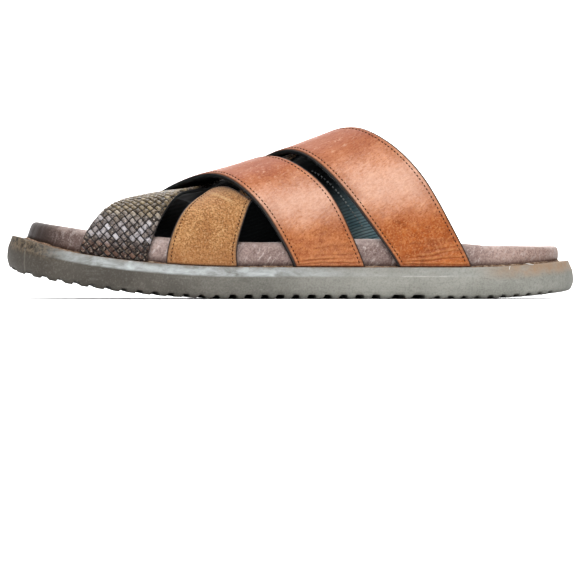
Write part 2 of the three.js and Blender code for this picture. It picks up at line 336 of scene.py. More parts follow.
def table_at(rows, x, column):
    """Column of a table at x, with soft steps between its rows."""
    places = np.array([row.x for row in rows], float)
    values = np.array([getattr(row, column) for row in rows], float)
    at = np.clip(x, places[0], places[-1])
    i = np.clip(np.searchsorted(places, at) - 1, 0, len(places) - 2)
    return values[i] + (values[i + 1] - values[i]) * smooth(places[i], places[i + 1], at)


def hash01(i, j, seed):
    """Repeatable number from 0 to 1 for a cell."""
    turn = np.asarray(i) * HASH.i + np.asarray(j) * HASH.j + seed * HASH.seed
    value = np.sin(turn) * HASH.spread
    return value - np.floor(value)


def soft_noise(u, v, size, seed):
    """Smooth repeatable noise from -1 to 1 over two coordinates, with lumps of the given size."""
    a = np.asarray(u, float) / size
    b = np.asarray(v, float) / size
    i, j = np.floor(a), np.floor(b)
    f, g = smooth(0, 1, a - i), smooth(0, 1, b - j)
    low = hash01(i, j, seed) * (1 - f) + hash01(i + 1, j, seed) * f
    high = hash01(i, j + 1, seed) * (1 - f) + hash01(i + 1, j + 1, seed) * f
    return 2 * (low * (1 - g) + high * g) - 1


def run_length(path):
    """Length along a line of points, from its start to each point."""
    return np.concatenate([[0], np.cumsum(np.linalg.norm(np.diff(path, axis=0), axis=1))])


# Outline

KNOTS = np.array(
    [HEEL_END]
    + [(row.x, row.inner) for row in STATIONS]
    + [TOE_END]
    + [(row.x, row.outer) for row in reversed(STATIONS)],
    float,
)


def outline_points(share):
    """Points of the closed curve through the knots, evenly shared between them."""
    count = len(KNOTS)
    place = (np.asarray(share, float) % 1) * count
    i = np.floor(place).astype(int)
    w = (place - i)[:, None]
    p0, p1, p2, p3 = (KNOTS[(i + k) % count] for k in (-1, 0, 1, 2))

    def step(a, b):
        return (np.sum((b - a) ** 2, axis=1) ** 0.25)[:, None]

    d0, d1, d2 = step(p0, p1), step(p1, p2), step(p2, p3)
    t1 = ((p1 - p0) / d0 - (p2 - p0) / (d0 + d1) + (p2 - p1) / d1) * d1
    t2 = ((p2 - p1) / d1 - (p3 - p1) / (d1 + d2) + (p3 - p2) / d2) * d1
    c2 = -3 * p1 + 3 * p2 - 2 * t1 - t2
    c3 = 2 * p1 - 2 * p2 + t1 + t2
    return p1 + t1 * w + c2 * w ** 2 + c3 * w ** 3


def outline_ring(count, inset):
    """Outline set in by a distance, which may be a function of the place along the foot."""
    share = np.arange(count) / count
    points = outline_points(share)
    along = outline_points(share + TANGENT_STEP) - outline_points(share - TANGENT_STEP)
    along /= np.linalg.norm(along, axis=1)[:, None]
    distance = inset(points[:, 0]) if callable(inset) else inset
    inward = np.stack([along[:, 1], -along[:, 0]], axis=1)
    return points + inward * np.broadcast_to(distance, (count,))[:, None]


def softened(ring, spread):
    """Ring with rounder ends: a bell-shaped average along it, spread being a share of its length."""
    width = max(spread * len(ring), 1e-3)
    steps = np.arange(-int(3 * width) - 1, int(3 * width) + 2)
    weights = np.exp(-0.5 * (steps / width) ** 2)
    weights /= weights.sum()
    return sum(weight * np.roll(ring, step, axis=0) for step, weight in zip(steps, weights))


def bend(distance, shape):
    """Height of an arc that starts level at a distance from the middle."""
    past = np.clip(np.asarray(distance, float) - shape.start, 0, None)
    return shape.radius - np.sqrt(shape.radius ** 2 - past * past)


def tread_height(x):
    return bend(-np.asarray(x, float), TOE_BEND) + bend(x, HEEL_BEND)


def toe_share(shape, x):
    """Amount that grows from nothing to its most towards the toe."""
    return shape.most * smooth(shape.start, shape.end, -np.asarray(x, float))


def sole_thickness(x):
    return SOLE_THICKNESS + toe_share(TOE_THICKER, x)


def sole_top(x):
    return tread_height(x) + sole_thickness(x)


# The solids are centred over the origin, so the curve takes the same shift from the frame.
OUTLINE_LOW = outline_points(np.arange(OUTLINE_SAMPLES) / OUTLINE_SAMPLES).min(axis=0)
SOLE_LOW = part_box("outsole")[0]
SHIFT = np.array([SOLE_LOW.x / MM - OUTLINE_LOW[0], SOLE_LOW.y / MM - OUTLINE_LOW[1], 0])


# Meshes

def add_piece(name, points, faces, materials, node, face_slots=None, values=None):
    """A mesh piece from points in millimetres, riding on the sandal; the node's own solid is hidden."""
    mesh = bpy.data.meshes.new(name)
    placed = np.asarray(points, float) + SHIFT
    mesh.from_pydata((placed * MM).tolist(), [], [list(map(int, face)) for face in faces])
    mesh.polygons.foreach_set("use_smooth", [True] * len(mesh.polygons))
    for material in materials:
        mesh.materials.append(material)
    if face_slots is not None:
        mesh.polygons.foreach_set("material_index", [int(slot) for slot in face_slots])
    for label, numbers in (values or {}).items():
        layer = mesh.attributes.new(label, "FLOAT", "POINT")
        layer.data.foreach_set("value", np.asarray(numbers, np.float32).ravel())
    mesh.update()
    piece = bpy.data.objects.new(name, mesh)
    bpy.context.scene.collection.objects.link(piece)
    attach(piece, "root")
    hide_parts(node)


def quads(lattice):
    """Faces between neighbours in a lattice of point numbers."""
    corners = [lattice[:-1, :-1], lattice[1:, :-1], lattice[1:, 1:], lattice[:-1, 1:]]
    return np.stack([corner.ravel() for corner in corners], axis=1)


def band_faces(rows, count):
    """Faces between closed rings of the same count that follow one another."""
    index = np.arange(rows * count).reshape(rows, count)
    return quads(np.concatenate([index, index[:, :1]], axis=1))


def cap_faces(count, start, upward):
    """Strips across a ring, between each point and the one opposite it."""
    faces = []
    for i in range(count // 2):
        corners = [start + i, start + (count - i) % count, start + count - i - 1, start + i + 1]
        distinct = list(dict.fromkeys(corners))
        faces.append(distinct if upward else distinct[::-1])
    return faces


def closed_faces(rows, count):
    """Faces of a body of rings, with a cap at its first and its last ring."""
    bands = list(band_faces(rows, count))
    return bands + cap_faces(count, (rows - 1) * count, True) + cap_faces(count, 0, False)


# Outsole

def groove_depth(x, y):
    """Depth of the slanted grooves at each point."""
    reach = np.abs(y)
    along = x - (reach - GROOVE_REACH) * TREAD_SLANT
    beside_rib = smooth(TREAD_RIB_HALF + RIB_SLOPE[0], TREAD_RIB_HALF + RIB_SLOPE[1], reach)
    depth = np.zeros_like(x)
    for zone in TREAD:
        last = math.floor((zone.end - zone.start) / zone.pitch + 1e-6)
        step = np.clip(np.round((along - zone.start) / zone.pitch), 0, last)
        off = np.abs(along - zone.start - step * zone.pitch)
        cut = smooth(zone.width / 2 + GROOVE_SLOPE / 2, zone.width / 2 - GROOVE_SLOPE, off)
        depth = np.maximum(depth, zone.depth * cut * beside_rib)
    return depth


def length_cut(x, y):
    """Depth of the thin wavy cuts along the tread."""
    slope = LENGTH_CUTS.slope
    depth = np.zeros_like(x)
    for place in LENGTH_CUTS.places:
        off = np.abs(np.abs(y) - place - CUT_WAVE.height * np.sin(x / CUT_WAVE.length))
        cut = smooth(LENGTH_CUTS.width / 2 + slope, slope, off)
        depth = np.maximum(depth, LENGTH_CUTS.depth * cut)
    return depth


def tread_lines(near, far, share):
    """Lines across the tread between opposite edge points, parallel to the grooves beside the rib."""
    near_x, near_y = near[:, :1], near[:, 1:2]
    far_x, far_y = far[:, :1], far[:, 1:2]
    width = far_y - near_y
    y = near_y + width * share
    middle = np.clip(-near_y / width, LINE_TURN, 1 - LINE_TURN)
    turn = np.minimum(TREAD_RIB_HALF / width, LINE_TURN)
    side = smooth(middle - turn, middle + turn, share)
    edge = np.abs(near_y) + (np.abs(far_y) - np.abs(near_y)) * side
    slant = TREAD_SLANT * smooth(*SLANT_WIDTHS, width)
    return near_x + (far_x - near_x) * side + (np.abs(y) - edge) * slant, y


def make_outsole(material):
    count, half = SOLE_POINTS, SOLE_POINTS // 2
    points, shares = [], []
    for row in SOLE_SIDE:
        rise = row.rise
        ring = outline_ring(count, row.inset)
        x, y = ring[:, 0], ring[:, 1]
        notch = groove_depth(x, y) * (1 - NOTCH_FADE * rise)
        height = np.maximum(rise * sole_thickness(x) / SOLE_THICKNESS, notch)
        lumps = soft_noise(np.arange(count), rise * SOLE_LUMPS.turn, SOLE_LUMPS.size, seed=3)
        y = y - SOLE_LUMPS.height * lumps * np.sign(y)
        points.append(np.stack([x, y, tread_height(x) + height], axis=1))
        shares.append(np.full(count, rise / SOLE_THICKNESS))
    rows = len(SOLE_SIDE)
    polygons = list(band_faces(rows, count)) + cap_faces(count, (rows - 1) * count, True)

    # The tread spans the bottom ring from side to side.
    bottom = points[0]
    share = np.linspace(0, 1, TREAD_COLUMNS + 1)[1:-1]
    x, y = tread_lines(bottom[1:half], bottom[:half:-1], share)
    cut = np.maximum(groove_depth(x, y), length_cut(x, y))
    tread = np.stack([x, y, tread_height(x) + cut], axis=-1)
    near = np.arange(1, half)[:, None]
    index = rows * count + np.arange(x.size).reshape(x.shape)
    lattice = np.concatenate([near, index, count - near], axis=1)
    polygons += list(quads(lattice))
    polygons.append([0] + list(lattice[0]))
    polygons.append([half] + list(lattice[-1][::-1]))
    points = np.concatenate(points + [tread.reshape(-1, 3)])
    shares = np.concatenate(shares + [np.zeros(x.size)])
    add_piece("outsole_rubber", points, polygons, [material], "outsole", values={"rise": shares})


# Footbed and insole

def footbed_ring(count, inset, lean=0.0):
    """Ring set in from the footbed's wall, with a share of the lean that it has at the toe."""
    def from_outline(x):
        return LEDGE + toe_share(TOE_LEDGE, x) + inset + lean * toe_share(TOE_LEAN, x)

    return outline_ring(count, from_outline)


def blended_rim(ring):
    """Rim height along a ring, with the two sides blended at heel and toe."""
    count = len(ring)
    x = ring[:, 0]
    inner = np.arange(count) < count / 2
    height = np.where(inner, table_at(RIM, x, "inner"), table_at(RIM, x, "outer"))
    padded = np.concatenate([height[-RIM_BLEND:], height, height[:RIM_BLEND]])
    width = 2 * RIM_BLEND + 1
    return np.convolve(padded, np.ones(width) / width, mode="valid")


def make_footbed(material):
    count = FOOTBED_POINTS
    lowest = FOOTBED_SIDE[-1].share
    points, shares = [], []
    for row in FOOTBED_SIDE:
        share, inset, lean = row.share, row.inset, row.lean
        ring = footbed_ring(count, inset, lean)
        top = blended_rim(ring)
        spread = SOFT_ENDS.cup * smooth(RIM_CROWN, CUP_WIDTH, inset)
        ring = softened(ring, spread)
        outside = inset < RIM_CROWN
        if outside:
            height = SEAT_GAP + share * (top - SEAT_GAP)
        else:
            height = top + (CUP_FLOOR - top) * (1 - share) / (1 - lowest)
        height = height + sole_top(ring[:, 0])
        if share > PUCKER_FROM:
            push = softened(footbed_ring(count, inset + 1, lean), spread) - ring
            for pucker in PUCKERS:
                lumps = soft_noise(np.arange(count), share * pucker.turn, pucker.size, pucker.seed)
                ring = ring + push * pucker.depth * lumps[:, None]
        points.append(np.column_stack([ring, height]))
        shares.append(np.full(count, share if outside else 2 - share))
    polygons = closed_faces(len(FOOTBED_SIDE), count)
    values = {"rise": np.concatenate(shares)}
    add_piece("footbed_leather", np.concatenate(points), polygons, [material], "footbed", values=values)


def make_cement(material):
    """Ragged bead that closes the joint between footbed and outsole."""
    along = np.arange(CEMENT_POINTS)
    points = []
    for row in CEMENT_BEAD:
        ring = footbed_ring(CEMENT_POINTS, -row.out)
        wide = RAGGED.wide * soft_noise(along, 1.0, RAGGED.wide_size, seed=11)
        fine = RAGGED.fine * soft_noise(along, row.out * RAGGED.turn, RAGGED.fine_size, seed=12)
        ragged = np.clip(RAGGED.mean + wide + fine, *RAGGED.limits)
        points.append(np.column_stack([ring, sole_top(ring[:, 0]) + row.rise * ragged]))
    rows = len(CEMENT_BEAD)
    faces = band_faces(rows + 1, CEMENT_POINTS) % (rows * CEMENT_POINTS)
    add_piece("cement_bead", np.concatenate(points), faces, [material], "footbed")


def make_insole(material):
    edge = softened(footbed_ring(INSOLE_POINTS, CUP_WIDTH + INSOLE_MARGIN, 1.0), SOFT_ENDS.insole)
    middle = (edge.max(axis=0) + edge.min(axis=0)) / 2
    span = edge.max(axis=0) - edge.min(axis=0)
    points, insets = [], []
    for row in INSOLE_SIDE:
        ring = middle + (edge - middle) * (1 - 2 * row.inset / span)
        points.append(np.column_stack([ring, sole_top(ring[:, 0]) + CUP_FLOOR + SEAT_GAP + row.rise]))
        insets.append(np.full(INSOLE_POINTS, row.inset))
    polygons = closed_faces(len(INSOLE_SIDE), INSOLE_POINTS)
    values = {"rise": np.concatenate(insets)}
    add_piece("insole_lining", np.concatenate(points), polygons, [material], "insole", values=values)


# Form of the straps

WALL_RING = footbed_ring(LENGTH_SAMPLES, 0.0)
INNER_WALL = WALL_RING[:LENGTH_SAMPLES // 2][::-1]
OUTER_WALL = WALL_RING[LENGTH_SAMPLES // 2:]


def instep_height(x):
    return INSTEP.height + INSTEP.slope * x + INSTEP.curve * x * x


def form_points(x, t):
    """Points of the foot's form: t runs from the inner base (0) over the crest to the outer base (1)."""
    inner = t <= 0.5
    run = np.clip(np.where(inner, 2 * t, 2 * (1 - t)), 0, 1)
    even = run ** EVEN_SPACING / (run ** EVEN_SPACING + (1 - run) ** EVEN_SPACING)
    angle = even * math.pi / 2
    power = 2 / np.where(inner, FULLNESS.inner, FULLNESS.outer)
    near = np.interp(x, INNER_WALL[:, 0], INNER_WALL[:, 1]) - STRAP_CLEARANCE
    far = np.interp(x, OUTER_WALL[:, 0], OUTER_WALL[:, 1]) + STRAP_CLEARANCE
    wall = np.where(inner, near, far)
    base = sole_top(x) + SEAT_GAP
    y = CREST_Y + (wall - CREST_Y) * np.clip(np.cos(angle), 0, 1) ** power
    z = base + (instep_height(x) - base) * np.clip(np.sin(angle), 0, 1) ** power
    return np.stack([x, y, z], axis=-1)


def form_normals(x, t):
    """Outward directions of the form, level at the feet of the straps."""
    along = form_points(x + NORMAL_STEP.x, t) - form_points(x - NORMAL_STEP.x, t)
    after = form_points(x, np.clip(t + NORMAL_STEP.t, 0, 1))
    before = form_points(x, np.clip(t - NORMAL_STEP.t, 0, 1))
    normal = np.cross(along, after - before)
    normal[..., 2] *= smooth(0, UPRIGHT_ENDS, t) * smooth(0, UPRIGHT_ENDS, 1 - t)
    return normal / np.linalg.norm(normal, axis=-1)[..., None]


def edge_at(places, t):
    """Smooth line through the four places of a strap's edge."""
    at = (0, SHOULDER, 0.5, 1)
    total = np.zeros_like(t)
    for i, place in enumerate(places):
        weight = np.ones_like(t)
        for j, other in enumerate(at):
            if j != i:
                weight = weight * (t - other) / (at[i] - other)
        total = total + place * weight
    return total


def rear_edge(strap, t):
    share = np.clip(t / BOW_END, 0, 1)
    return edge_at(strap.rear, t) + strap.bow * np.sin(math.pi * share) ** 2


def strap_width(strap, t):
    return rear_edge(strap, t) - edge_at(strap.front, t)


def strap_lift(strap, t):
    lift = strap.lift
    most = lift.most - lift.pressed * smooth(*PRESSED_FROM, t)
    return most * smooth(*lift.near, t) * smooth(*lift.far, 1 - t)


def strap_sag(strap, t, share):
    """How far a strap hangs below its form; share runs from its front edge to its rear one."""
    ends = smooth(*SAG.near, t) * smooth(*SAG.far, 1 - t)
    return strap.sag * smooth(*SAG.across, share) * ends


def fold_drop(points, t):
    """How far the suede strap is turned down to stay under its fold."""
    x, z = points[..., 0], points[..., 2]
    top = FOLD.top - FOLD.round * (x - FOLD.x) ** 2
    past = FOLD.soft * np.logaddexp(0, (z - top) / FOLD.soft)
    return past * smooth(*FOLD.ends, x) * smooth(*FOLD.near, t)


def strap_point(strap, t, from_front, height):
    """Points on a strap: distance in millimetres from its front edge and height over the form."""
    x = edge_at(strap.front, t) + from_front
    over = strap_lift(strap, t) - strap_sag(strap, t, from_front / strap_width(strap, t)) + height
    points = form_points(x, t) + form_normals(x, t) * over[..., None]
    if strap.folded:
        points[..., 2] -= fold_drop(points, t)
    return points


def strap_rows(strap):
    """Values of t along the strap's middle line, closer together over its creased inner base."""
    t = np.linspace(0, 1, LENGTH_SAMPLES)
    x = edge_at(strap.front, t) + strap_width(strap, t) / 2
    length = run_length(form_points(x, t))
    creased = np.linspace(0, CREASED_LENGTH, CREASED_ROWS, endpoint=False)
    plain = np.linspace(CREASED_LENGTH, length[-1], strap.rows - CREASED_ROWS)
    places = np.concatenate([creased, plain])
    return np.interp(places, length, t)[:, None], places[:, None]


# Surface of the straps

def section_arc(x, t):
    """Length of the form's section at x from the inner base to t, for rows of points with one t each."""
    arcs = [run_length(form_points(np.full_like(ARC_SHARES, place), ARC_SHARES)) for place in ARC_PLACES]
    at_t = np.array([np.interp(t[:, 0], ARC_SHARES, arc) for arc in arcs])
    return np.array([np.interp(row, ARC_PLACES, lengths) for row, lengths in zip(x, at_t.T)])


def weave(along, across):
    """Height (0 to 1), tone and shine of the strips of a plain weave laid on the bias; shine adds to how
    bright each cell's painted highlight is.
    """
    a = (along + across) / math.sqrt(2) / STRIP.pitch
    b = (along - across) / math.sqrt(2) / STRIP.pitch
    i, j = np.floor(a), np.floor(b)
    f, g = a - i - 0.5, b - j - 0.5
    over = (i + j) % 2 == 0
    wide, long = np.where(over, f, g), np.where(over, g, f)
    crown = np.clip(1 - np.abs(2 * wide / STRIP.width) ** STRIP_CROWN.power, 0, 1)
    arch = 1 - STRIP_ARCH.depth * np.abs(2 * long) ** STRIP_ARCH.power
    pale = STRIP_TONE.pale_from + STRIP_TONE.range * hash01(i, np.floor(j / 2), 1)
    dark = STRIP_TONE.range * hash01(j, np.floor(i / 2), 2)
    return crown ** STRIP_CROWN.root * arch, np.where(over, pale, dark), hash01(i, j, 3)


def woven_values(strap, t, across):
    """Height, tone and shine of the strips at each point, and where the front strap covers them, for the
    painted shadow under it.
    """
    place = edge_at(strap.front, t) + across
    over = STRAPS["front"]
    behind = smooth(-COVER_SOFT, COVER_SOFT, place - edge_at(over.front, t))
    before = smooth(COVER_SOFT, -COVER_SOFT, place - rear_edge(over, t))
    raised, tone, shine = weave(section_arc(place, t), place)
    return {"raised": raised, "tone": tone, "shine": shine, "cover": behind * before}


def creases_at(name, points, t):
    """Depth of the troughs and height of the soft ridges above them."""
    x, z = points[..., 0], points[..., 2]
    along = x - STRAPS[name].front[0]
    depth, ridge = np.zeros_like(x), np.zeros_like(x)
    for row in CREASES:
        if row.strap != name:
            continue
        wave = CREASE_WAVE.height * soft_noise(x, row.rise, CREASE_WAVE.size, seed=9)
        line = sole_top(x) + row.rise + row.tilt * along + wave
        uneven = 0.5 + 0.5 * soft_noise(x, row.rise * CREASE_FADE.turn, CREASE_FADE.size, seed=4)
        fade = CREASE_FADE.least + (CREASE_FADE.most - CREASE_FADE.least) * uneven
        fade = fade * smooth(row.start - CREASE_ENDS, row.start + CREASE_ENDS, along)
        fade = fade * smooth(row.end + CREASE_ENDS, row.end - CREASE_ENDS, along)
        fade = fade * row.depth * (t < 0.5)
        off = (z - line) / row.width
        depth += fade * np.exp(-off ** 2)
        ridge += np.abs(fade) * RIDGE.share * np.exp(-(off / RIDGE.width - RIDGE.shift) ** 2)
    return depth, ridge


def strap_face(name, t, places):
    """Points of a strap's face, and the numbers that its material reads."""
    strap = STRAPS[name]
    width = strap_width(strap, t)
    reach = EDGE_STEPS[-1]
    middle = reach + (width - 2 * reach) * np.linspace(0, 1, strap.columns)[1:-1]
    near = np.tile(EDGE_STEPS, (len(t), 1))
    across = np.concatenate([near, middle, width - near[:, ::-1]], axis=1)
    from_edge = np.minimum(across, width - across)
    corner = np.clip(1 - from_edge / EDGE_ROUND.width, 0, 1)
    height = strap.wall - EDGE_ROUND.depth * corner ** 2
    values = {"edge_mm": from_edge, "tone": strap.paler, "raised": 1}
    values.update(dict.fromkeys(["shine", "cover", "crease", "ridge"], 0))
    if name == "woven":
        values.update(woven_values(strap, t, across))
        height = height + STRIP.height * values["raised"] * smooth(0, STRIP.hem, from_edge)
    else:
        groove = np.exp(-((from_edge - STITCHES[name].margin) / SEAM_GROOVE.width) ** 2)
        uneven = soft_noise(places, across, UNEVEN.size, strap.seed)
        height = height - SEAM_GROOVE.depth * groove
        height = height + UNEVEN.height * uneven * smooth(*UNEVEN.from_edge, from_edge)
        depth, ridge = creases_at(name, strap_point(strap, t, across, height), t)
        values.update({"crease": depth, "ridge": ridge})
        height = height - depth + ridge
    return strap_point(strap, t, across, height), values


def strap_lining(strap, t, places):
    """Points of a strap's lining from its rear edge to its front one, a little past the face at both."""
    width = strap_width(strap, t)
    share = np.concatenate([[1], np.linspace(1, 0, LINING.columns), [0]])
    across = (width + strap.past_rear + strap.past_front) * share - strap.past_front
    corner = np.clip(1 - np.minimum(across, width - across) / LINING.turn_width, 0, 1)
    height = LINING.turn * corner ** 2
    height = height + LINING.uneven * soft_noise(across, places, LINING.uneven_size, seed=8)
    height = np.clip(height, 0, 1)
    height[:, [0, -1]] = strap.wall * LINING.share
    return strap_point(strap, t, across, height)


def make_strap(name, face_material, edge_material, lining_material):
    """Closed strap wall: face, raw edges and lining are told apart by material."""
    t, places = strap_rows(STRAPS[name])
    face, values = strap_face(name, t, places)
    lining = strap_lining(STRAPS[name], t, places)
    points = np.concatenate([face, lining], axis=1)
    rows, per_row, faced = len(points), points.shape[1], face.shape[1]
    polygons = [face[[0, 3, 2, 1]] for face in band_faces(rows, per_row)]
    first_end = np.arange(per_row)
    polygons += [first_end[::-1], first_end + (rows - 1) * per_row]
    slots = np.full(per_row, LINED)
    slots[:faced - 1] = FACE
    slots[[faced - 1, per_row - 1]] = EDGE
    slots = np.concatenate([np.tile(slots, rows - 1), [EDGE, EDGE]])
    beside = np.zeros((rows, per_row - faced))
    for label, numbers in values.items():
        values[label] = np.concatenate([np.broadcast_to(numbers, (rows, faced)), beside], axis=1)
    x, z = points[..., 0], points[..., 2]
    values["rise_mm"] = z - sole_top(x)
    values["rise"] = values["rise_mm"] / (instep_height(x) - sole_top(x))
    materials = [face_material, edge_material, lining_material]
    add_piece("strap_" + name, points.reshape(-1, 3), polygons, materials, "upper", slots, values)


# Threads

def capsule():
    """Unit stitch: length 1 along X, radius 1."""
    sides, rings = STITCH_SHAPE.sides, STITCH_SHAPE.rings
    points = [(-0.5, 0, 0)]
    for k in range(rings):
        angle = math.pi * (k + 1) / (rings + 1)
        radius = math.sin(angle) ** STITCH_SHAPE.blunt
        for s in range(sides):
            turn = 2 * math.pi * s / sides
            points.append((-0.5 * math.cos(angle), radius * math.cos(turn), radius * math.sin(turn)))
    points.append((0.5, 0, 0))
    faces = []
    for s in range(sides):
        n = (s + 1) % sides
        faces.append([0, 1 + n, 1 + s])
        for k in range(rings - 1):
            a = 1 + k * sides
            faces.append([a + s, a + n, a + sides + n, a + sides + s])
        a = 1 + (rings - 1) * sides
        faces.append([a + s, a + n, len(points) - 1])
    return np.array(points), faces


def laid_stitches(stitches):
    """Points and faces of stitches, each with a place, a direction, a sideways direction and a size."""
    shape, shape_faces = capsule()
    points, faces = [], []
    for k, (place, run, across, size) in enumerate(stitches):
        local = shape * np.array(size)
        points.append(place + local @ np.stack([run, across, np.cross(run, across)]))
        faces += [[k * len(shape) + corner for corner in face] for face in shape_faces]
    return np.concatenate(points), faces


def stitch_row(strap, sewing, t, from_front, height, seed):
    """Stitches along a line on a strap, each lying on the strap's surface."""
    path = strap_point(strap, t, from_front, np.full_like(t, height))
    length = run_length(path)

    def point_at(s):
        return np.array([np.interp(s, length, path[:, axis]) for axis in range(3)])

    size = (sewing.length, sewing.radius * STITCH_FLAT, sewing.radius)
    stitches = []
    for k in range(int(length[-1] / sewing.spacing)):
        s = (k + 0.5 + STITCH_SHIFT * (hash01(k, seed, 5) - 0.5)) * sewing.spacing
        place = point_at(s)
        run = point_at(s + STITCH_AHEAD) - place
        run /= np.linalg.norm(run)
        up = form_normals(place[:1], np.array([np.interp(s, length, t)]))[0]
        across = np.cross(up, run)
        across /= np.linalg.norm(across)
        stitches.append((place, run, across, size))
    return laid_stitches(stitches)


def make_stitches(name, material):
    """Rows of stitches along both edges of a strap's face."""
    strap, sewing = STRAPS[name], STITCHES[name]
    t = np.linspace(*STITCH_ENDS, STITCH_SAMPLES)
    height = strap.wall - STITCH_SUNK
    margin = np.full_like(t, sewing.margin)
    front, front_faces = stitch_row(strap, sewing, t, margin, height, 0)
    rear, rear_faces = stitch_row(strap, sewing, t, strap_width(strap, t) - margin, height, 1)
    faces = front_faces + [[len(front) + corner for corner in face] for face in rear_faces]
    add_piece("stitches_" + name, np.concatenate([front, rear]), faces, [material], "upper")


def make_lining_seam(material):
    """Row of stitches across the lining of the suede strap's outer half."""
    strap = STRAPS["suede"]
    t = np.linspace(*LINING_SEAM.t, SEAM_SAMPLES)
    x = np.linspace(*LINING_SEAM.x, SEAM_SAMPLES)
    points, faces = stitch_row(strap, LINING_SEAM, t, x - edge_at(strap.front, t), -SEAM_SUNK, 2)
    add_piece("stitches_lining", points, faces, [material], "upper")


def make_loose_threads(material):
    """White thread ends caught on the upper edge of the outsole at the heel."""
    stitches = []
    for row in LOOSE_THREADS:
        inner_edge = outline_ring(OUTLINE_SAMPLES, row.inset)[:OUTLINE_SAMPLES // 2]
        x, y = inner_edge[np.argmin(np.abs(inner_edge[:, 0] - row.x))]
        place = np.array([x, y, tread_height(row.x) + row.rise])
        run = np.array([math.cos(row.turn), 0, math.sin(row.turn)])
        stitches.append((place, run, np.array([0, 1, 0]), (row.length, row.radius, row.radius)))
    points, faces = laid_stitches(stitches)
    add_piece("loose_threads", points, faces, [material], "outsole")


# Materials

def srgb(red, green, blue):
    """Linear surface colour that looks like the given screen values under the studio's light."""
    def one(value):
        v = value / 255
        linear = v / 12.92 if v <= 0.04045 else ((v + 0.055) / 1.055) ** 2.4
        return linear / LIGHT_LEVEL

    return (one(red), one(green), one(blue), 1.0)


class Value:
    """Output of a node, with sums and soft steps that add further nodes."""

    def __init__(self, recipe, socket):
        self.recipe = recipe
        self.socket = socket

    def sum(self, kind, a, b=0.0):
        return self.recipe.add("Math", "Value", {0: a, 1: b}, operation=kind)

    def __add__(self, other):
        return self.sum("ADD", self, other)

    def __sub__(self, other):
        return self.sum("SUBTRACT", self, other)

    def __rsub__(self, other):
        return self.sum("SUBTRACT", other, self)

    def __mul__(self, other):
        return self.sum("MULTIPLY", self, other)

    def away(self, number):
        """How far the value is from a number."""
        return self.sum("ABSOLUTE", self - number)

    def span(self, low, high, at_low, at_high):
        """Soft step between two results."""
        inputs = {"Value": self, "From Min": low, "From Max": high, "To Min": at_low, "To Max": at_high}
        return self.recipe.add("MapRange", "Result", inputs, interpolation_type="SMOOTHSTEP")

    def climb(self, low, high, most=1.0):
        """Soft step up from 0."""
        return self.span(low, high, 0.0, most)

    def fall(self, low, high, most=1.0):
        """Soft step down to 0."""
        return self.span(low, high, most, 0.0)


